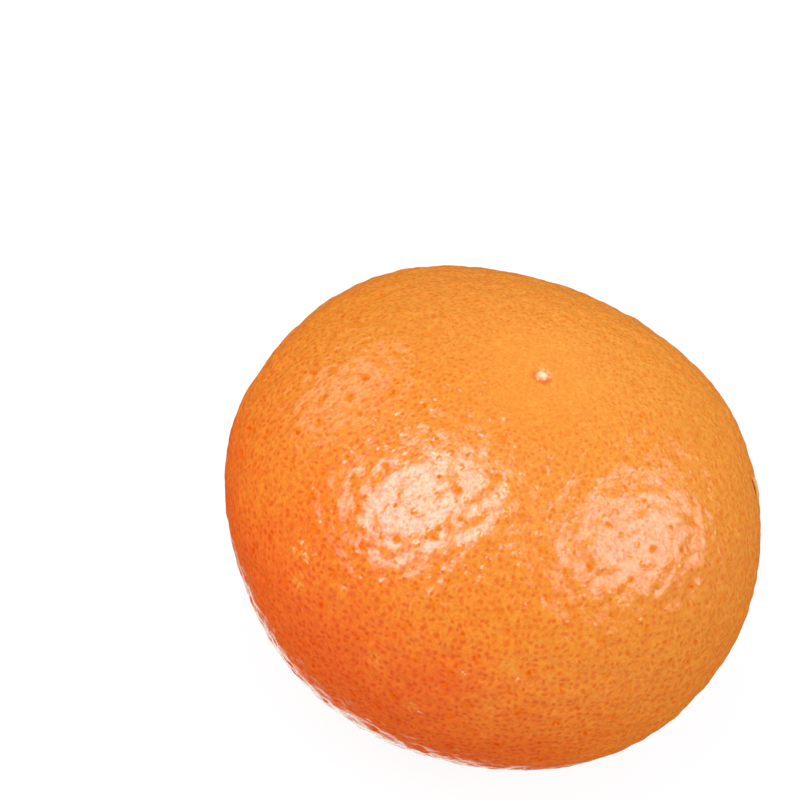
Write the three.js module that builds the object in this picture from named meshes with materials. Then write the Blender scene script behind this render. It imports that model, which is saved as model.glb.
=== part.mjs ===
// A whole grapefruit standing on its stem end, with the style end up.
//
// Frame: millimetres, +Z up along the fruit's core from stem end to style end. The origin is on the
// surface that the fruit stands on, in the middle of the fruit's own box.
//
// Two pieces: the fruit, which grew as one body, and the stem button, the dry five-lobed calyx that
// sits in the basin at the stem end and comes away from the peel.

import * as THREE from "three";
import { mergeVertices } from "three/addons/utils/BufferGeometryUtils.js";

// Fruit: an oblate body, a little narrower front to back than side to side.
const HALF_WIDTH = 52.5; // along X at the girth
const HALF_DEPTH = 50.5; // along Y at the girth
const HALF_HEIGHT = 42.5; // girth to either end, before the ends are shaped

// Uneven growth: broad swellings (+) and flats (-) of the peel. Each is given by where it faces in
// degrees round and above the girth, how far it stands out, and how wide it spreads in degrees.
const SWELLINGS = [
  { round: 42, above: 31, height: 1.2, spread: 18 },
  { round: 131, above: 34, height: 1.7, spread: 20 },
  { round: 151, above: 24, height: 1.75, spread: 18 },
  { round: 176, above: 4, height: 0.95, spread: 18 },
  { round: 206, above: -21, height: -1.4, spread: 22 },
  { round: 248, above: -40, height: 0.25, spread: 20 },
  { round: 304, above: -37, height: 0.65, spread: 24 },
  { round: 327, above: -26, height: 0.95, spread: 22 },
];

// Style end: a shallow dish with the small nub that the style left.
const DISH_DEPTH = 0.55;
const DISH_RADIUS = 9;
const NUB_HEIGHT = 0.75;
const NUB_RADIUS = 1.15;

// Stem end: a basin round the button, with faint furrows running out over the shoulder.
const BASIN_DEPTH = 4.5;
const BASIN_RADIUS = 8;
const FURROWS = 9;
const FURROW_DEPTH = 0.22;
const FURROW_RADIUS = 17;

// The ring of peel round the basin is pressed flat by this much where the fruit rests.
const FOOT_FLATTENING = 0.4;

// Stem button: a thin, slightly domed five-lobed calyx with the stub of the stalk in its middle.
const BUTTON_RADIUS = 4.4;
const BUTTON_LOBES = 5;
const LOBE_SHARE = 0.14; // how far the lobes stand out, as a share of the radius
const BUTTON_EDGE = 0.35; // thickness at the rim
const BUTTON_DOME = 0.55; // extra thickness towards the middle
const STUB_RADIUS = 1.5;
const STUB_HEIGHT = 0.75;
const BUTTON_GAP = 0.3; // between the button and the peel behind it

// Mesh fineness: columns round the core and rows from end to end.
const FRUIT_GRID = { columns: 64, rows: 48, crowding: 0.6 };
const BUTTON_GRID = { columns: 40, rows: 16, crowding: 0 };

const DEGREES = Math.PI / 180;
const bell = (distance, width) => Math.exp(-((distance / width) ** 2));

function facing({ round, above }) {
  const outwards = Math.cos(above * DEGREES);
  return new THREE.Vector3(
    outwards * Math.cos(round * DEGREES),
    outwards * Math.sin(round * DEGREES),
    Math.sin(above * DEGREES),
  );
}

const swellings = SWELLINGS.map((s) => ({
  towards: facing(s),
  share: s.height / HALF_WIDTH,
  spread: s.spread * DEGREES,
}));

// The grown shape: where the peel lies in a direction from the middle of the fruit.
function peelPoint(direction) {
  const grown = swellings.reduce(
    (sum, s) => sum + s.share * bell(direction.angleTo(s.towards), s.spread),
    1,
  );
  const point = new THREE.Vector3(HALF_WIDTH, HALF_DEPTH, HALF_HEIGHT)
    .multiply(direction)
    .multiplyScalar(grown);
  const fromCore = Math.hypot(point.x, point.y);
  if (direction.z > 0) {
    point.z -= DISH_DEPTH * bell(fromCore, DISH_RADIUS);
    point.z += NUB_HEIGHT * bell(fromCore, NUB_RADIUS);
  } else {
    const round = Math.atan2(point.y, point.x);
    const shoulder = bell(fromCore, FURROW_RADIUS) * (1 - bell(fromCore, BASIN_RADIUS));
    point.z += BASIN_DEPTH * bell(fromCore, BASIN_RADIUS);
    point.z += FURROW_DEPTH * shoulder * (1 + Math.cos(FURROWS * round));
  }
  return point;
}

// A closed skin: a sphere's grid of directions, each moved to where the shape puts it. Crowding
// draws the rows towards the two ends, where the detail is.
function closedSkin({ columns, rows, crowding }, place) {
  const sphere = new THREE.SphereGeometry(1, columns, rows).rotateX(Math.PI / 2);
  sphere.deleteAttribute("normal");
  sphere.deleteAttribute("uv");
  const skin = mergeVertices(sphere, 1e-5);
  const places = skin.getAttribute("position");
  const direction = new THREE.Vector3();
  for (let i = 0; i < places.count; i++) {
    direction.fromBufferAttribute(places, i).normalize();
    const slope = Math.acos(THREE.MathUtils.clamp(direction.z, -1, 1));
    const round = Math.atan2(direction.y, direction.x);
    const crowded = slope - (crowding * Math.sin(2 * slope)) / 2;
    direction.set(
      Math.sin(crowded) * Math.cos(round),
      Math.sin(crowded) * Math.sin(round),
      Math.cos(crowded),
    );
    const { x, y, z } = place(direction);
    places.setXYZ(i, x, y, z);
  }
  skin.computeVertexNormals();
  return skin;
}

function fruitSkin() {
  const skin = closedSkin(FRUIT_GRID, peelPoint);
  skin.computeBoundingBox();
  const foot = skin.boundingBox.min.z + FOOT_FLATTENING;
  const places = skin.getAttribute("position");
  for (let i = 0; i < places.count; i++) {
    places.setZ(i, Math.max(places.getZ(i), foot));
  }
  skin.computeVertexNormals();
  skin.computeBoundingBox();
  return skin;
}

// The basin floor's height at a distance from the core.
function basinFloor(fromCore) {
  const slope = Math.asin(fromCore / HALF_WIDTH);
  return peelPoint(new THREE.Vector3(Math.sin(slope), 0, -Math.cos(slope))).z;
}

// The button's back follows the basin at a small gap; its front is the back lowered by the
// button's thickness there.
function buttonSkin() {
  return closedSkin(BUTTON_GRID, (direction) => {
    const round = Math.atan2(direction.y, direction.x);
    const lobed = 1 + LOBE_SHARE * (Math.abs(Math.cos((BUTTON_LOBES * round) / 2)) - 0.5);
    const across = Math.hypot(direction.x, direction.y);
    const fromCore = BUTTON_RADIUS * lobed * across;
    const back = basinFloor(fromCore) - BUTTON_GAP;
    const dome = BUTTON_EDGE + BUTTON_DOME * (1 - across * across);
    const stub = STUB_HEIGHT * Math.exp(-((fromCore / STUB_RADIUS) ** 6));
    const thickness = direction.z < 0 ? (dome + stub) * Math.sqrt(1 - across ** 8) : 0;
    return new THREE.Vector3(
      fromCore * Math.cos(round),
      fromCore * Math.sin(round),
      back - thickness,
    );
  });
}

function piece(name, geometry, colour, roughness) {
  const material = new THREE.MeshStandardMaterial({ color: colour, roughness, metalness: 0 });
  const mesh = new THREE.Mesh(geometry, material);
  mesh.name = name;
  return mesh;
}

const peel = fruitSkin();
const middle = peel.boundingBox.getCenter(new THREE.Vector3());

const grapefruit = new THREE.Group();
grapefruit.add(
  piece("fruit", peel, 0xf08c3c, 0.4),
  piece("stem_button", buttonSkin(), 0x8a7346, 0.85),
);
// Stand the fruit on the surface, with its box centred over the origin.
grapefruit.position.set(-middle.x, -middle.y, -peel.boundingBox.min.z);

export default grapefruit;
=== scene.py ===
import math
import random

import bmesh
import bpy
from mathutils import Matrix, Vector, kdtree, noise


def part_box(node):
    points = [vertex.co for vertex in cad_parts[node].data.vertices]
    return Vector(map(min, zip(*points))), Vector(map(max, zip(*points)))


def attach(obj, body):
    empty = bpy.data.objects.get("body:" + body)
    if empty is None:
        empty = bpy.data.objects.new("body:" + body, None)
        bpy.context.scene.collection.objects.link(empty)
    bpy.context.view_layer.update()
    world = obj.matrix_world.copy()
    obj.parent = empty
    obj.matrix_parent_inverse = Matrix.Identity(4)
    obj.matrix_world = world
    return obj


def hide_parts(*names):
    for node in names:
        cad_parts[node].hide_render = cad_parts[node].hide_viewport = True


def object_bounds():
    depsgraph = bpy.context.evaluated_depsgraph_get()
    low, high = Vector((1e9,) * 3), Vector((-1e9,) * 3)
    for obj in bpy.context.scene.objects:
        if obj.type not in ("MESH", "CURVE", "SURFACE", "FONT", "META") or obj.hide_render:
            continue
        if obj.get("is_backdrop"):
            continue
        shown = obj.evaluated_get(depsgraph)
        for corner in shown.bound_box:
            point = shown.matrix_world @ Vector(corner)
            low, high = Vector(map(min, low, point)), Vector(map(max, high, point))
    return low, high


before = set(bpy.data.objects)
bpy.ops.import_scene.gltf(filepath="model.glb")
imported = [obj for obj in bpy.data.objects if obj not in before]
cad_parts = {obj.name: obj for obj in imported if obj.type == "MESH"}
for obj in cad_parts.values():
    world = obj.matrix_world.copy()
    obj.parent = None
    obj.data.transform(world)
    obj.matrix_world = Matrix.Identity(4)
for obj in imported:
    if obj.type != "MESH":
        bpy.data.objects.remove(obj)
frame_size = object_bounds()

# A whole grapefruit on its stem end: the fruit in one closed skin, and the dry stem button in the
# basin underneath. Lengths are in millimetres until a piece is finished, then they become metres.
MM = 0.001

# The grown body, as in the design: half sizes at the girth and the peel's swellings and flats,
# each (degrees round, degrees above the girth, height, spread in degrees).
HALF_WIDTH = 52.5
HALF_DEPTH = 50.5
HALF_HEIGHT = 42.5
MEAN_RADIUS = 47.47
SWELLINGS = [
    (42, 31, 1.2, 18),
    (131, 34, 1.7, 20),
    (151, 24, 1.75, 18),
    (176, 4, 0.95, 18),
    (206, -21, -1.4, 22),
    (248, -40, 0.25, 20),
    (304, -37, 0.65, 24),
    (327, -26, 0.95, 22),
]

# Style end: a lumpy pale nub in a shallow dish. The moat round it is deepest on two sides.
DISH_DEPTH = 0.55
DISH_RADIUS = 9.0
NUB_HEIGHT = 0.75
NUB_RADIUS = 0.95
MOAT_DEPTH = 0.15
MOAT_RADIUS = 1.6
MOAT_WIDTH = 0.5
MOAT_SIDES = [(-33, 1.0), (-160, 0.45)]  # degrees round, share of the depth
MOAT_SHALLOWS = 0.15  # share of the depth that the moat keeps all round
FRAYED_SIDE = 70
FRAYED_WIDTH = 0.7
NUB_LUMPS = 0.35
NUB_LUMP_SIZE = 0.65

# Stem end.
BASIN_DEPTH = 4.5
BASIN_RADIUS = 8.0
FURROWS = 9
FURROW_DEPTH = 0.22
FURROW_RADIUS = 17.0
FOOT_FLATTENING = 0.4

# Stem button.
BUTTON_RADIUS = 4.4
BUTTON_LOBES = 5
LOBE_SHARE = 0.14
BUTTON_EDGE = 0.35
BUTTON_DOME = 0.55
STUB_RADIUS = 1.5
STUB_HEIGHT = 0.75
STUB_HOLLOW = 0.25
STUB_HOLLOW_RADIUS = 0.6
BUTTON_WRINKLES = 25
WRINKLE_HEIGHT = 0.09
BUTTON_LUMPS = 0.25
BUTTON_GAP = 0.3

# Peel relief. Each unevenness is (height, size of its grains, shift of the pattern).
CELLS_ALONG_SIDE = 120
FINER_AT_STYLE = (8.5, 4.2)  # degrees from each place within which the cells are halved
FINER_AT_STEM = (14,)
FINER_AT_SCAR = (5.0, 3.6)
UNEVENNESS = [(0.18, 14.0, 0), (0.16, 5.2, 37), (0.25, 2.4, 71)]
GLAND_SPACING = 1.52
PITS = 620
PIT_RADIUS = 0.62
PIT_DEPTH = 0.3
CALM_RADIUS = 15.0  # the smoother skin round the style end
CALM = 0.7

# Relief that is finer than the mesh.
GLAND_DEPTH = 0.045
GRAIN_HEIGHT = 0.10
WAX_RIPPLE = 0.12
WAX_BEAD = 0.16
BARK_STREAKS = 0.25
BARK_GRAIN = 0.1

# Marks on the peel, each (degrees round, degrees above the girth, radius).
GOLD_FLECKS = [
    (-76, 20, 2.0),
    (-129, 20, 1.9),
    (-126, 13, 1.8),
    (-103, 9, 1.5),
    (-93, -1, 1.4),
]
PALE_SPECKS = [
    (-73.5, 16.5, 0.5),
    (-85, 15, 0.4),
    (-91, -2, 0.4),
    (-116, 21, 0.45),
    (-126, 22, 0.3),
    (-127, 19, 0.35),
    (-128, 20.5, 0.5),
    (-130.5, 21.5, 0.35),
    (-131, 18.5, 0.3),
]
HIDDEN_FLECKS = 16
SCAR_ENDS = [(18.2, 26.0), (15.9, 23.6)]
SCAR_WIDTH = 0.7
SCAR_DEPTH = 0.2
LIP_DISTANCE = 2.0
LIP_WIDTH = 0.8
LIP_HEIGHT = 0.4

# Colours of the peel. The ground goes from the far side's gold to the blush.
BLUSH_SIDE = (-129, -54)  # degrees round, degrees above the girth
GROUND_COLOURS = [
    (0.00, (0.695, 0.242, 0.0238)),
    (0.20, (0.670, 0.218, 0.0226)),
    (0.35, (0.672, 0.206, 0.0160)),
    (0.52, (0.690, 0.189, 0.0128)),
    (0.62, (0.709, 0.162, 0.0081)),
    (0.70, (0.710, 0.114, 0.0037)),
    (0.80, (0.680, 0.088, 0.0034)),
]
PALER = (1.06, 1.30, 1.45, 1)
PORE_TINT = (0.91, 0.54, 0.45, 1)
# Painted shade in the sparse larger pits.
PIT_PAINTED_SHADE = (0.92, 0.74, 0.60, 1)
# Painted shade for the moat round the nub, darkest where the moat is deepest.
MOAT_PAINTED_SHADE = (0.88, 0.55, 0.32, 1)
GOLD = (0.72, 0.30, 0.025, 1)
CREAM = (0.90, 0.62, 0.30, 1)
FRAYED_TAN = (0.80, 0.42, 0.20, 1)
NUB_CREAM = (0.92, 0.68, 0.40, 1)
LIP_TAN = (0.72, 0.42, 0.20, 1)
SCAR_BROWN = (0.10, 0.027, 0.008, 1)
STEM_OLIVE = (0.42, 0.26, 0.020, 1)

# Colours of the stem button.
DARK_BARK = (0.075, 0.048, 0.018, 1)
PALE_BARK = (0.25, 0.19, 0.070, 1)
STALK_WOOD = (0.42, 0.31, 0.16, 1)
# Painted shade for the ring at the foot of the stalk's stub.
STALK_FOOT_PAINTED_SHADE = (0.040, 0.024, 0.010, 1)

# Roughness, and the wax's refraction.
PEEL_ROUGHNESS = 0.6
WAX_ROUGHNESS = 0.22
WAX_IOR = 1.9
BARK_ROUGHNESS = 0.85
TABLE_ROUGHNESS = 0.8

# Softboxes: where each hangs, the way its width runs, its width and height in metres, the
# brightness of its middle and its colour.
DAYLIGHT = (1.0, 0.91, 1.03)
COOL_DAYLIGHT = (0.95, 0.90, 1.01)
WARM_WHITE = (1.0, 0.98, 0.90)
SOFTBOXES = {
    "front_softbox": ((-0.452, -0.416, 0.829), (0.616, 0.585, 0.527), 1.66, 1.02, 5.8, COOL_DAYLIGHT),
    "side_softbox": ((0.783, -0.025, 0.634), (0.829, 0.415, 0.374), 1.80, 0.96, 3.35, DAYLIGHT),
    "small_window": ((-0.84, 0.38, 0.40), (1, 0, 0), 1.0, 0.7, 1.45, WARM_WHITE),
    "back_softbox": ((0.10, 0.85, 0.50), (1, 0, 0), 1.2, 1.0, 1.7, DAYLIGHT),
}
EDGE_SHARE = 0.2  # a softbox's brightness at its edge, as a share of the middle's
GLOW_FULL = 0.12  # how far from its middle a softbox stays bright, as a share of its size
GLOW_EDGE = 0.55
NOT_IN_GLOSS = "back_softbox"
SOFTBOX_DISTANCE = 1.3
FILL = 0.515

# Table: its half width in metres, how it takes light, and how it looks to the camera.
TABLE_HALF = 4.0
TABLE_GREY = 0.8
TABLE_WHITE = 1.04
SHADOW_SHARE = 0.12
# Painted reflections that only the gloss sees: warm surroundings, a bright ring of table near the
# fruit, painted shade under it.
PAINTED_WARM_REFLECTION = (0.45, 0.145, 0.034, 1)
PAINTED_BRIGHT_REFLECTION = (1.3, 2.1, 2.0, 1)
PAINTED_REFLECTION_CENTRE = Vector((-5, 8, 0)) * MM
PAINTED_REFLECTION_EDGE = 54 * MM
PAINTED_REFLECTION_FULL = 43 * MM
SHADE = (0.08, 0.05, 0.04, 1)
SHADE_EDGE = 34 * MM
SHADE_FULL = 29 * MM

# Camera: degrees above the table, degrees of roll, millimetres from the fruit's middle, how far
# beside and above the middle it looks, and its lens.
CAMERA_ELEVATION = 48
CAMERA_ROLL = 19.4
CAMERA_DISTANCE = 850
GAZE_ASIDE = -23.9
GAZE_ABOVE = 14.7
LENS = 198.2
SENSOR_WIDTH = 36


def bell(distance, width):
    """1 at no distance, fading smoothly to 0 past the width."""
    return math.exp(-((distance / width) ** 2))


def facing(degrees_round, degrees_above):
    """The direction that looks so far round the girth from +X, and so far above it."""
    outwards = math.cos(math.radians(degrees_above))
    return Vector(
        (
            outwards * math.cos(math.radians(degrees_round)),
            outwards * math.sin(math.radians(degrees_round)),
            math.sin(math.radians(degrees_above)),
        )
    )


def towards_side(turn, degrees_round, spread):
    """How nearly an angle round the core points to one side, from 1 down to 0."""
    off = math.remainder(turn - math.radians(degrees_round), 2 * math.pi)
    return bell(math.degrees(off), spread)


# ---------------------------------------------------------------- the fruit's shape


def even_ball(cells):
    """A closed ball of even square cells: a cube cut into a grid and blown up round."""
    ball = bmesh.new()
    bmesh.ops.create_cube(ball, size=2.0)
    bmesh.ops.subdivide_edges(ball, edges=ball.edges[:], cuts=cells - 1, use_grid_fill=True)
    for vert in ball.verts:
        vert.co = Vector([math.tan(math.pi / 4 * part) for part in vert.co]).normalized()
    return ball


def cut_finer(ball, centre, spread):
    """Halve the cells that face within spread degrees of centre."""
    nearest = math.cos(math.radians(spread))
    edges = [e for e in ball.edges if all(v.co.dot(centre) > nearest for v in e.verts)]
    bmesh.ops.subdivide_edges(ball, edges=edges, cuts=1, use_grid_fill=True)
    for vert in ball.verts:
        vert.co.normalize()


def grow(direction):
    """Where the grown body's skin lies in a direction from its middle."""
    share = 1.0
    for degrees_round, degrees_above, height, spread in SWELLINGS:
        away = direction.angle(facing(degrees_round, degrees_above))
        share += height / HALF_WIDTH * bell(math.degrees(away), spread)
    return Vector(
        (
            HALF_WIDTH * direction.x * share,
            HALF_DEPTH * direction.y * share,
            HALF_HEIGHT * direction.z * share,
        )
    )


def moat_share(from_core, turn):
    """The moat round the nub, deepest on its own sides."""
    around = MOAT_SHALLOWS + sum(share * towards_side(turn, side, 55) for side, share in MOAT_SIDES)
    return around * bell(from_core - MOAT_RADIUS, MOAT_WIDTH)


def style_end(from_core, turn):
    """How far the skin stands up round the style's nub."""
    nub = NUB_HEIGHT * math.exp(-((from_core / NUB_RADIUS) ** 4))
    return nub - MOAT_DEPTH * moat_share(from_core, turn) - DISH_DEPTH * bell(from_core, DISH_RADIUS)


def stem_end(from_core, turn):
    """How far the skin is drawn up into the stem's basin, with its furrows."""
    basin = bell(from_core, BASIN_RADIUS)
    shoulder = bell(from_core, FURROW_RADIUS) * (1 - basin)
    return BASIN_DEPTH * basin + FURROW_DEPTH * shoulder * (1 + math.cos(FURROWS * turn))


def skin_point(direction):
    """Where the skin lies in a direction, with its two ends formed."""
    point = grow(direction)
    from_core = math.hypot(point.x, point.y)
    turn = math.atan2(point.y, point.x)
    if direction.z > 0:
        point.z += style_end(from_core, turn)
    else:
        point.z += stem_end(from_core, turn)
    return point


def spread_evenly(count, seed):
    """Directions spread evenly over the ball, each nudged a little from its place."""
    dice = random.Random(seed)
    golden_angle = math.pi * (3 - math.sqrt(5))
    nudge = 1.2 / math.sqrt(count)
    for i in range(count):
        height = 1 - (2 * i + 1) / count
        outwards = math.sqrt(1 - height * height)
        place = Vector(
            (
                outwards * math.cos(golden_angle * i),
                outwards * math.sin(golden_angle * i),
                height,
            )
        )
        yield (place + nudge * Vector([dice.uniform(-1, 1) for _ in range(3)])).normalized()


def index_points(ball):
    """A finder of the skin's points by place."""
    points = kdtree.KDTree(len(ball.verts))
    for vert in ball.verts:
        points.insert(vert.co, vert.index)
    points.balance()
    ball.verts.ensure_lookup_table()
    return points


def sink_pits(ball, points, pit_layer):
    """Press the sparse larger pits into the skin, each centred on a point of the mesh."""
    dice = random.Random(7)
    for direction in spread_evenly(PITS, seed=3):
        centre, _, _ = points.find(skin_point(direction))
        radius = PIT_RADIUS * dice.uniform(0.75, 1.3)
        depth = PIT_DEPTH * dice.uniform(0.5, 1.3)
        if math.hypot(centre.x, centre.y) < CALM_RADIUS:
            continue
        for _, index, distance in points.find_range(centre, 3 * radius):
            vert = ball.verts[index]
            press = bell(distance, radius)
            vert[pit_layer] = max(vert[pit_layer], press)
            vert.co -= vert.normal * depth * press


def all_flecks():
    """The flecks that can be placed, and a few more on the sides away from the front."""
    yield from GOLD_FLECKS
    dice = random.Random(11)
    for _ in range(HIDDEN_FLECKS):
        yield dice.uniform(25, 155), dice.uniform(-50, 25), dice.uniform(0.9, 2.0)


def mark_peel(points, ball, marks, layer):
    """Note on the skin's points how far inside a mark each one lies."""
    for degrees_round, degrees_above, radius in marks:
        centre = skin_point(facing(degrees_round, degrees_above))
        for _, index, distance in points.find_range(centre, 2.5 * radius):
            vert = ball.verts[index]
            vert[layer] = max(vert[layer], bell(distance, radius))


def scratch_peel(points, ball, scar_layer, lip_layer):
    """A short healed scratch: a dark groove with a pale lip pushed up along its far side."""
    start, end = [skin_point(facing(*degrees)) for degrees in SCAR_ENDS]
    along = (end - start).normalized()
    middle = (start + end) / 2
    length = (end - start).length
    outwards = middle - Vector((0, 0, middle.z))
    across = along.cross(outwards).normalized()
    for _, index, _ in points.find_range(middle, length + 4 * LIP_DISTANCE):
        vert = ball.verts[index]
        away = vert.co - middle
        past_end = max(0.0, abs(away.dot(along)) - length / 2)
        side = away.dot(across) + 0.12 * math.sin(4 * away.dot(along))
        groove = bell(math.hypot(past_end, side), SCAR_WIDTH)
        lip = bell(math.hypot(past_end, side + LIP_DISTANCE), LIP_WIDTH)
        vert[scar_layer] = groove
        vert[lip_layer] = lip
        vert.co += vert.normal * (LIP_HEIGHT * lip - SCAR_DEPTH * groove)


def rumple(ball):
    """Raise and lower the skin by grains of several sizes, less round the style end."""
    for vert in ball.verts:
        calm = 1 - CALM * bell(math.hypot(vert.co.x, vert.co.y), CALM_RADIUS) * (vert.co.z > 0)
        rise = 0.0
        for height, grain, shift in UNEVENNESS:
            rise += height * noise.noise(vert.co / grain + Vector((shift, 0, 0)))
        vert.co += vert.normal * calm * rise


def roughen_nub(ball, nub_layer, frayed_layer):
    """Make the nub lumpy and fray the skin beside it."""
    for vert in ball.verts:
        around = max(vert[nub_layer], vert[frayed_layer])
        if around > 0.01:
            vert.co += vert.normal * around * NUB_LUMPS * noise.noise(vert.co / NUB_LUMP_SIZE)


def press_foot(ball):
    """Flatten the low ring of skin that the fruit stands on."""
    foot = min(vert.co.z for vert in ball.verts) + FOOT_FLATTENING
    for vert in ball.verts:
        vert.co.z = max(vert.co.z, foot)


def fit_to(ball, low, high):
    """Scale and move the skin so that its box is the one given, in metres."""
    own_low = Vector([min(vert.co[axis] for vert in ball.verts) for axis in range(3)])
    own_high = Vector([max(vert.co[axis] for vert in ball.verts) for axis in range(3)])
    for axis in range(3):
        scale = (high[axis] - low[axis]) / (own_high[axis] - own_low[axis])
        for vert in ball.verts:
            vert.co[axis] = low[axis] + scale * (vert.co[axis] - own_low[axis])


def finish_piece(piece_mesh, name, material):
    """Turn a bmesh into a smooth named object at the origin, with its material."""
    mesh = bpy.data.meshes.new(name)
    piece_mesh.to_mesh(mesh)
    piece_mesh.free()
    mesh.shade_smooth()
    mesh.materials.append(material)
    piece = bpy.data.objects.new(name, mesh)
    bpy.context.scene.collection.objects.link(piece)
    return piece


def make_fruit(material):
    """The whole skin in one closed piece, with each mark's place kept as a layer of its points."""
    ball = even_ball(CELLS_ALONG_SIDE)
    style, stem = Vector((0, 0, 1)), Vector((0, 0, -1))
    scar = (facing(*SCAR_ENDS[0]) + facing(*SCAR_ENDS[1])).normalized()
    for place, spreads in ((style, FINER_AT_STYLE), (stem, FINER_AT_STEM), (scar, FINER_AT_SCAR)):
        for spread in spreads:
            cut_finer(ball, place, spread)
    names = ("pit", "nub", "moat", "frayed", "fleck", "speck", "scar", "lip")
    layer = {name: ball.verts.layers.float.new(name) for name in names}
    for vert in ball.verts:
        vert.co = skin_point(vert.co)
        from_core = math.hypot(vert.co.x, vert.co.y)
        turn = math.atan2(vert.co.y, vert.co.x)
        if vert.co.z > 0:
            vert[layer["nub"]] = math.exp(-((from_core / NUB_RADIUS) ** 6))
            vert[layer["moat"]] = moat_share(from_core, turn)
            beside = bell(from_core - MOAT_RADIUS, FRAYED_WIDTH)
            vert[layer["frayed"]] = towards_side(turn, FRAYED_SIDE, 60) * beside
    ball.verts.index_update()
    ball.normal_update()
    points = index_points(ball)
    sink_pits(ball, points, layer["pit"])
    mark_peel(points, ball, all_flecks(), layer["fleck"])
    mark_peel(points, ball, PALE_SPECKS, layer["speck"])
    scratch_peel(points, ball, layer["scar"], layer["lip"])
    rumple(ball)
    roughen_nub(ball, layer["nub"], layer["frayed"])
    press_foot(ball)
    fit_to(ball, *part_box("fruit"))
    fruit = finish_piece(ball, "grapefruit_skin", material)
    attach(fruit, "root")
    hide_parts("fruit")


# ---------------------------------------------------------------- the stem button's shape


def make_button(material):
    """The dry calyx: a thin lobed cap that follows the basin, round the stub of the stalk."""
    button = bmesh.new()
    bmesh.ops.create_uvsphere(button, u_segments=120, v_segments=60, radius=1.0)
    for vert in button.verts:
        turn = math.atan2(vert.co.y, vert.co.x)
        lobed = 1 + LOBE_SHARE * (abs(math.cos(BUTTON_LOBES * turn / 2)) - 0.5)
        across = min(1.0, math.hypot(vert.co.x, vert.co.y))
        from_core = BUTTON_RADIUS * lobed * across
        back = stem_end(from_core, 0) - BUTTON_GAP
        dome = BUTTON_EDGE + BUTTON_DOME * (1 - across * across)
        stub = STUB_HEIGHT * math.exp(-((from_core / STUB_RADIUS) ** 6))
        hollow = STUB_HOLLOW * bell(from_core, STUB_HOLLOW_RADIUS)
        wrinkles = WRINKLE_HEIGHT * math.sin(BUTTON_WRINKLES * turn + 3 * across) * across
        flat = Vector((from_core * math.cos(turn), from_core * math.sin(turn), 0))
        lumps = BUTTON_LUMPS * across * noise.noise(flat)
        front = (dome + stub - hollow + wrinkles + lumps) * math.sqrt(1 - across**8)
        thickness = front if vert.co.z < 0 else 0.0
        vert.co = flat + Vector((0, 0, back - thickness))
    fit_to(button, *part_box("stem_button"))
    piece = finish_piece(button, "stem_button_calyx", material)
    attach(piece, "root")
    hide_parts("stem_button")


# ---------------------------------------------------------------- materials


def put(tree, kind, inputs=None, **settings):
    """A shader node with its settings; each input is a value or another node's output."""
    made = tree.nodes.new("ShaderNode" + kind)
    for name, value in settings.items():
        setattr(made, name, value)
    for name, value in (inputs or {}).items():
        if isinstance(value, bpy.types.NodeSocket):
            tree.links.new(value, made.inputs[name])
        else:
            made.inputs[name].default_value = value
    return made


def maths(tree, operation, *values):
    """One sum on numbers or nodes' outputs."""
    made = put(tree, "Math", dict(enumerate(values)), operation=operation)
    return made.outputs[0]


def vector_maths(tree, operation, *values):
    """One sum on vectors, which gives a number or a vector as the operation does."""
    made = put(tree, "VectorMath", dict(enumerate(values)), operation=operation)
    return made.outputs["Value" if operation in ("DOT_PRODUCT", "LENGTH", "DISTANCE") else "Vector"]


def scale_vector(tree, vector, scale):
    inputs = {0: vector, "Scale": scale}
    return put(tree, "VectorMath", inputs, operation="SCALE").outputs["Vector"]


def ramp(tree, value, start, end, low=0.0, high=1.0):
    """Ease from low to high as value goes from start to end."""
    inputs = {"Value": value, "From Min": start, "From Max": end, "To Min": low, "To Max": high}
    return put(tree, "MapRange", inputs, interpolation_type="SMOOTHSTEP").outputs["Result"]


def ramp_straight(tree, value, start, end):
    """Go straight from 0 to 1 as value goes from start to end."""
    inputs = {"Value": value, "From Min": start, "From Max": end}
    return put(tree, "MapRange", inputs).outputs["Result"]


def blend(tree, share, first, second, mode="MIX"):
    """Mix two colours, or second over first in another blend mode.

    The Mix node's colour sockets are numbers 6, 7 and, out, 2.
    """
    made = put(tree, "Mix", data_type="RGBA", blend_type=mode)
    for socket, value in zip((made.inputs[0], made.inputs[6], made.inputs[7]), (share, first, second)):
        if isinstance(value, bpy.types.NodeSocket):
            tree.links.new(value, socket)
        else:
            socket.default_value = value
    return made.outputs[2]


def colour_steps(tree, value, steps):
    """Colours that follow each other as value goes from 0 to 1."""
    made = put(tree, "ValToRGB", {"Fac": value})
    elements = made.color_ramp.elements
    for _ in steps[2:]:
        elements.new(0.5)
    for element, (place, colour) in zip(elements, steps):
        element.position = place
        element.color = (*colour, 1)
    return made.outputs["Color"]


def noise_at(tree, vector, scale, detail=2.0, roughness=0.5):
    inputs = {"Vector": vector, "Scale": scale, "Detail": detail, "Roughness": roughness}
    return put(tree, "TexNoise", inputs).outputs["Fac"]


def attribute(tree, name):
    return put(tree, "Attribute", attribute_name=name).outputs["Fac"]


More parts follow.
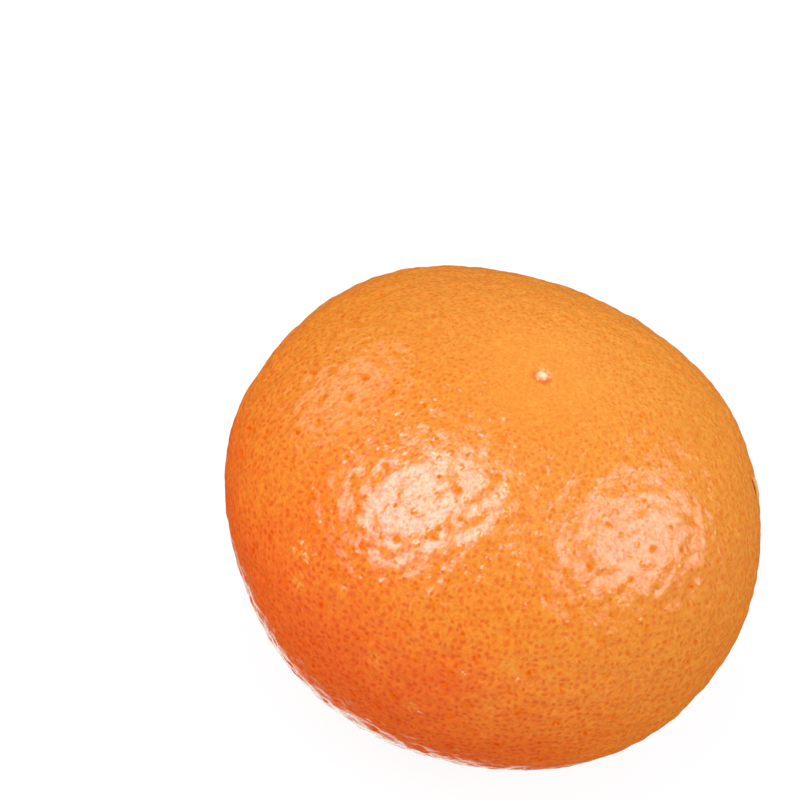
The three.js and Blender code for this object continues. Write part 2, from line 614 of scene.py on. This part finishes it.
def gland_group():
    """Oil glands: cells over a ball, from flat maps of its six sides faded together."""
    tree = bpy.data.node_groups.new("oil_glands", "ShaderNodeTree")
    for name, kind in (("Direction", "NodeSocketVector"), ("Cells", "NodeSocketFloat")):
        tree.interface.new_socket(name, in_out="INPUT", socket_type=kind)
    for name in ("Distance", "Strength"):
        tree.interface.new_socket(name, in_out="OUTPUT", socket_type="NodeSocketFloat")
    start = tree.nodes.new("NodeGroupInput")
    end = tree.nodes.new("NodeGroupOutput")
    parts = put(tree, "SeparateXYZ", {0: start.outputs["Direction"]}).outputs
    distances, strengths, weights = [], [], []
    for side, (across, up) in {0: (1, 2), 1: (0, 2), 2: (0, 1)}.items():
        height = maths(tree, "ABSOLUTE", parts[side])
        stretch = maths(tree, "SQRT", maths(tree, "DIVIDE", 2.0, maths(tree, "ADD", height, 1.0)))
        flat_x = maths(tree, "MULTIPLY", parts[across], stretch)
        flat_y = maths(tree, "MULTIPLY", parts[up], stretch)
        apart = maths(tree, "MULTIPLY", maths(tree, "SIGN", parts[side]), 5.3)
        flat = put(tree, "CombineXYZ", {0: maths(tree, "ADD", flat_x, apart), 1: flat_y}).outputs[0]
        turned = put(tree, "Mapping", {"Vector": flat, "Rotation": (0, 0, 0.4 + side)}).outputs[0]
        cell = put(
            tree,
            "TexVoronoi",
            {"Vector": turned, "Scale": start.outputs["Cells"], "Randomness": 0.7},
            voronoi_dimensions="2D",
        )
        distances.append(cell.outputs["Distance"])
        strengths.append(put(tree, "SeparateXYZ", {0: cell.outputs["Color"]}).outputs[0])
        weights.append(maths(tree, "POWER", height, 24.0))
    total = maths(tree, "ADD", maths(tree, "ADD", weights[0], weights[1]), weights[2])
    for name, values in (("Distance", distances), ("Strength", strengths)):
        shares = [maths(tree, "MULTIPLY", value, weight) for value, weight in zip(values, weights)]
        summed = maths(tree, "ADD", maths(tree, "ADD", shares[0], shares[1]), shares[2])
        tree.links.new(maths(tree, "DIVIDE", summed, total), end.inputs[name])
    return tree


def new_material(name):
    material = bpy.data.materials.new(name)
    material.use_nodes = True
    tree = material.node_tree
    tree.nodes.clear()
    shader = put(tree, "BsdfPrincipled")
    put(tree, "OutputMaterial", {"Surface": shader.outputs[0]})
    return material, tree, shader


def lay_glands(tree, direction):
    """The oil glands over the fruit, gently wandering: distance from each one, and its strength."""
    wander = put(tree, "TexNoise", {"Vector": direction, "Scale": 11.0, "Detail": 1.0}).outputs["Color"]
    shift = scale_vector(tree, wander, 0.05)
    glands = tree.nodes.new("ShaderNodeGroup")
    glands.node_tree = gland_group()
    glands.inputs["Cells"].default_value = MEAN_RADIUS / GLAND_SPACING
    tree.links.new(vector_maths(tree, "ADD", direction, shift), glands.inputs["Direction"])
    return glands.outputs["Distance"], glands.outputs["Strength"]


def lay_blush(tree, direction):
    """How red the peel is, from -1 up the far side to 1 low in front."""
    blush = vector_maths(tree, "DOT_PRODUCT", direction, facing(*BLUSH_SIDE))
    patches = maths(tree, "MULTIPLY", noise_at(tree, direction, 3.2, 4.0, 0.55), 0.6)
    return maths(tree, "ADD", blush, maths(tree, "SUBTRACT", patches, 0.3))


def peel_ground(tree, direction, blush):
    """Gold round the style and up the far side, through orange to a red blush, with pale grains."""
    ground = colour_steps(tree, ramp_straight(tree, blush, -1.0, 1.0), GROUND_COLOURS)
    mottle = ramp(tree, noise_at(tree, direction, 24.0, 3.0, 0.6), 0.45, 0.75, 0.0, 0.6)
    ground = blend(tree, mottle, ground, PALER, "MULTIPLY")
    grain = ramp(tree, noise_at(tree, direction, 74.0, 1.0), 0.38, 0.66)
    grain = maths(tree, "MULTIPLY", grain, ramp(tree, blush, -0.6, 0.5, 0.75, 1.1))
    return blend(tree, grain, ground, PALER, "MULTIPLY")


def mark_colours(tree, colour, direction, fine_grain):
    """Lay the marks' colours over the peel's: flecks, specks, the style end with painted shade in its
    moat, and the scratch.
    """
    patchy = ramp(tree, fine_grain, 0.40, 0.62)
    colour = blend(tree, maths(tree, "MULTIPLY", attribute(tree, "fleck"), patchy), colour, GOLD)
    colour = blend(tree, maths(tree, "MULTIPLY", attribute(tree, "speck"), patchy), colour, CREAM)
    # Painted shade in the moat round the nub.
    colour = blend(tree, attribute(tree, "moat"), colour, MOAT_PAINTED_SHADE, "MULTIPLY")
    speckled = ramp(tree, noise_at(tree, direction, 90.0), 0.4, 0.6)
    frayed = maths(tree, "MULTIPLY", attribute(tree, "frayed"), speckled)
    colour = blend(tree, frayed, colour, FRAYED_TAN)
    colour = blend(tree, attribute(tree, "nub"), colour, NUB_CREAM)
    colour = blend(tree, attribute(tree, "lip"), colour, LIP_TAN)
    return blend(tree, ramp(tree, attribute(tree, "scar"), 0.1, 0.65), colour, SCAR_BROWN)


def roughen(tree, height, socket):
    """Turn heights in millimetres into relief of the light on the shader."""
    bump = put(tree, "Bump", {"Height": height, "Strength": 1.0, "Distance": MM})
    tree.links.new(bump.outputs[0], socket)


def gland_spots(tree, distance, strength, blush, calm):
    """How dark each gland shows: most in the blush, least round the style."""
    spot = maths(tree, "MULTIPLY", ramp(tree, distance, 0.42, 0.10), calm)
    spot = maths(tree, "MULTIPLY", spot, ramp_straight(tree, strength, -1.0, 1.0))
    return maths(tree, "MULTIPLY", spot, ramp(tree, blush, -0.6, 0.5, 0.75, 1.3))


def peel_relief(tree, distance, fine_grain, calm):
    """Sunken glands and fine grain."""
    dimple = maths(tree, "MULTIPLY", ramp(tree, distance, 0.46, 0.08), GLAND_DEPTH)
    grains = maths(tree, "MULTIPLY", fine_grain, GRAIN_HEIGHT)
    return maths(tree, "MULTIPLY", maths(tree, "SUBTRACT", grains, dimple), calm)


def wax_relief(tree, direction):
    """A rippled film of wax with small beads."""
    ripple = maths(tree, "MULTIPLY", noise_at(tree, direction, 38.0, 1.0), WAX_RIPPLE)
    beads = put(tree, "TexVoronoi", {"Vector": direction, "Scale": 16.0}).outputs["Distance"]
    beads = maths(tree, "MULTIPLY", ramp(tree, beads, 0.30, 0.0), WAX_BEAD)
    return maths(tree, "ADD", ripple, beads)


def wax_cover(tree, direction, distance, pit):
    """Where the wax lies: speckled, thin over the glands, gone from the pits and the marks."""
    dull = maths(tree, "MAXIMUM", attribute(tree, "scar"), attribute(tree, "frayed"))
    dull = maths(tree, "MAXIMUM", dull, maths(tree, "MULTIPLY", attribute(tree, "nub"), 0.6))
    bare = maths(tree, "MAXIMUM", ramp(tree, pit, 0.12, 0.6), ramp(tree, dull, 0.2, 0.8))
    speckle = ramp(tree, noise_at(tree, direction, 72.0, 1.0), 0.34, 0.54, 0.6, 1.0)
    speckle = maths(tree, "MULTIPLY", speckle, ramp(tree, distance, 0.08, 0.34, 0.85, 1.0))
    return maths(tree, "MULTIPLY", speckle, maths(tree, "SUBTRACT", 1.0, bare))


def waxed_peel(centre):
    """Peel with sunken oil glands under a patchy coat of wax, which is worn out of the pits."""
    material, tree, shader = new_material("waxed_peel")
    place = put(tree, "TexCoord").outputs["Object"]
    centred = put(tree, "Mapping", {"Vector": place, "Location": -centre}).outputs[0]
    direction = vector_maths(tree, "NORMALIZE", centred)
    height = put(tree, "SeparateXYZ", {0: direction}).outputs[2]
    calm = ramp(tree, height, 0.93, 0.99, 1.0, 0.3)
    distance, strength = lay_glands(tree, direction)
    fine_grain = noise_at(tree, direction, 58.0, 2.0)
    pit = attribute(tree, "pit")

    blush = lay_blush(tree, direction)
    colour = peel_ground(tree, direction, blush)
    colour = blend(tree, ramp(tree, height, -0.972, -0.994, 0.0, 0.6), colour, STEM_OLIVE)
    spots = gland_spots(tree, distance, strength, blush, calm)
    colour = blend(tree, spots, colour, PORE_TINT, "MULTIPLY")
    # Painted shade: darker in the pits' hollows.
    colour = blend(tree, pit, colour, PIT_PAINTED_SHADE, "MULTIPLY")
    colour = mark_colours(tree, colour, direction, fine_grain)
    tree.links.new(colour, shader.inputs["Base Color"])
    shader.inputs["Roughness"].default_value = PEEL_ROUGHNESS
    shader.inputs["Specular IOR Level"].default_value = 0.0
    roughen(tree, peel_relief(tree, distance, fine_grain, calm), shader.inputs["Normal"])

    tree.links.new(wax_cover(tree, direction, distance, pit), shader.inputs["Coat Weight"])
    roughen(tree, wax_relief(tree, direction), shader.inputs["Coat Normal"])
    shader.inputs["Coat Roughness"].default_value = WAX_ROUGHNESS
    shader.inputs["Coat IOR"].default_value = WAX_IOR
    return material


def dry_calyx():
    """Bark streaked outwards over the lobes, round the paler wood where the stalk was cut, with painted
    shade as a near-black ring at the stalk's foot.
    """
    material, tree, shader = new_material("dry_calyx")
    place = put(tree, "TexCoord").outputs["Object"]
    parts = put(tree, "SeparateXYZ", {0: place}).outputs
    flat = put(tree, "CombineXYZ", {0: parts[0], 1: parts[1]}).outputs[0]
    from_core = vector_maths(tree, "LENGTH", flat)
    along_rays = scale_vector(tree, flat, 120.0)
    outwards = vector_maths(tree, "ADD", vector_maths(tree, "NORMALIZE", flat), along_rays)
    streaks = noise_at(tree, outwards, 8.0, 4.0, 0.6)
    grain = noise_at(tree, place, 1800.0, 4.0, 0.6)
    colour = blend(tree, ramp(tree, streaks, 0.35, 0.65), DARK_BARK, PALE_BARK)
    # Painted shade: a near-black ring round the foot of the stalk's stub.
    colour = blend(tree, ramp(tree, from_core, 2.4 * MM, 1.7 * MM), colour, STALK_FOOT_PAINTED_SHADE)
    wood = blend(tree, ramp(tree, grain, 0.35, 0.65), DARK_BARK, STALK_WOOD)
    colour = blend(tree, ramp(tree, from_core, 1.7 * MM, 1.4 * MM), colour, wood)
    tree.links.new(colour, shader.inputs["Base Color"])
    streak_heights = maths(tree, "MULTIPLY", streaks, BARK_STREAKS)
    grain_heights = maths(tree, "MULTIPLY", grain, BARK_GRAIN)
    roughen(tree, maths(tree, "ADD", streak_heights, grain_heights), shader.inputs["Normal"])
    shader.inputs["Roughness"].default_value = BARK_ROUGHNESS
    return material


# ---------------------------------------------------------------- floor, lights and camera


def lay_floor():
    """A pale table. In the fruit's gloss it glows with a painted warm reflection and a painted bright
    ring round painted shade.
    """
    floor_mesh = bmesh.new()
    bmesh.ops.create_grid(floor_mesh, x_segments=1, y_segments=1, size=TABLE_HALF)
    material, tree, shader = new_material("pale_table")
    shader.inputs["Base Color"].default_value = (TABLE_GREY, TABLE_GREY, TABLE_GREY, 1)
    shader.inputs["Roughness"].default_value = TABLE_ROUGHNESS
    shader.inputs["Specular IOR Level"].default_value = 0.0
    path = put(tree, "LightPath").outputs
    white = put(tree, "Emission", {"Color": (1, 1, 1, 1), "Strength": TABLE_WHITE}).outputs[0]
    faded = maths(tree, "MULTIPLY", path["Is Camera Ray"], 1 - SHADOW_SHARE)
    seen = put(tree, "MixShader", {0: faded, 1: shader.outputs[0], 2: white}).outputs[0]
    place = put(tree, "TexCoord").outputs["Object"]
    # Painted reflection: for the fruit's gloss the table glows, warm far out, bright in a ring, with
    # painted shade under the fruit.
    away = vector_maths(tree, "DISTANCE", place, PAINTED_REFLECTION_CENTRE)
    glow = blend(tree, ramp(tree, away, PAINTED_REFLECTION_EDGE, PAINTED_REFLECTION_FULL), PAINTED_WARM_REFLECTION, PAINTED_BRIGHT_REFLECTION)
    glow = blend(tree, ramp(tree, away, SHADE_EDGE, SHADE_FULL), glow, SHADE)
    glow = put(tree, "Emission", {"Color": glow}).outputs[0]
    mixed = put(tree, "MixShader", {0: path["Is Glossy Ray"], 1: seen, 2: glow}).outputs[0]
    output = tree.get_output_node("ALL")
    tree.links.new(mixed, output.inputs["Surface"])
    finish_piece(floor_mesh, "table", material)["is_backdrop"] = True


def hang_softbox(name, towards, along, width, height, brightness, colour, centre):
    """A softbox that faces the fruit, brightest in its middle and fading to its edges."""
    light = bpy.data.lights.new(name, "AREA")
    light.shape = "RECTANGLE"
    light.size = width
    light.size_y = height
    light.energy = brightness * math.pi * width * height
    light.color = colour
    light.use_nodes = True
    tree = light.node_tree
    place = vector_maths(tree, "MULTIPLY", put(tree, "NewGeometry").outputs["Parametric"], (1, 1, 0))
    from_middle = vector_maths(tree, "DISTANCE", place, (0.5, 0.5, 0))
    glow = ramp(tree, from_middle, GLOW_FULL, GLOW_EDGE, 1.0, EDGE_SHARE)
    tree.links.new(glow, tree.nodes["Emission"].inputs["Strength"])
    lamp = bpy.data.objects.new(name, light)
    back = Vector(towards).normalized()
    along = Vector(along)
    side = (along - back * along.dot(back)).normalized()
    axes = Matrix((side, back.cross(side), back)).transposed()
    lamp.matrix_world = Matrix.Translation(centre + back * SOFTBOX_DISTANCE) @ axes.to_4x4()
    lamp.visible_glossy = name != NOT_IN_GLOSS
    bpy.context.scene.collection.objects.link(lamp)


def light_the_studio(centre):
    """White to the camera, dim all round for fill, a painted warm reflection in the gloss, and the
    softboxes.
    """
    world = bpy.data.worlds.new("studio")
    world.use_nodes = True
    tree = world.node_tree
    path = put(tree, "LightPath").outputs
    fill = blend(tree, path["Is Camera Ray"], (FILL, FILL, FILL, 1), (1, 1, 1, 1))
    # Painted warm reflection: the world looks warm only in the fruit's gloss.
    around = blend(tree, path["Is Glossy Ray"], fill, PAINTED_WARM_REFLECTION)
    tree.links.new(around, tree.nodes["Background"].inputs["Color"])
    bpy.context.scene.world = world
    bpy.context.scene.view_settings.view_transform = "Standard"
    for name, settings in SOFTBOXES.items():
        hang_softbox(name, *settings, centre)


def set_camera(centre):
    """From in front and well above, rolled to the left, with the fruit right of and below middle."""
    elevation = math.radians(CAMERA_ELEVATION)
    roll = math.radians(CAMERA_ROLL)
    right = Vector((1, 0, 0))
    back = Vector((0, -math.cos(elevation), math.sin(elevation)))
    up = back.cross(right)
    place = centre + back * CAMERA_DISTANCE * MM
    aim = centre + (right * GAZE_ASIDE + up * GAZE_ABOVE) * MM
    gaze = (aim - place).normalized()
    level_right = gaze.cross(up).normalized()
    level_up = level_right.cross(gaze)
    camera_right = level_right * math.cos(roll) + level_up * math.sin(roll)
    camera_up = camera_right.cross(gaze)
    lens = bpy.data.cameras.new("camera")
    lens.lens = LENS
    lens.sensor_width = SENSOR_WIDTH
    camera = bpy.data.objects.new("camera", lens)
    axes = Matrix((camera_right, camera_up, -gaze)).transposed()
    camera.matrix_world = Matrix.Translation(place) @ axes.to_4x4()
    bpy.context.scene.collection.objects.link(camera)
    bpy.context.scene.camera = camera


fruit_low, fruit_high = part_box("fruit")
fruit_centre = (Vector(fruit_low) + Vector(fruit_high)) / 2
set_camera(fruit_centre)
lay_floor()
light_the_studio(fruit_centre)
make_fruit(waxed_peel(fruit_centre))
make_button(dry_calyx())

sizes = {"frame": frame_size, "visual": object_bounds()}
{name: [list(corner) for corner in box] for name, box in sizes.items()}
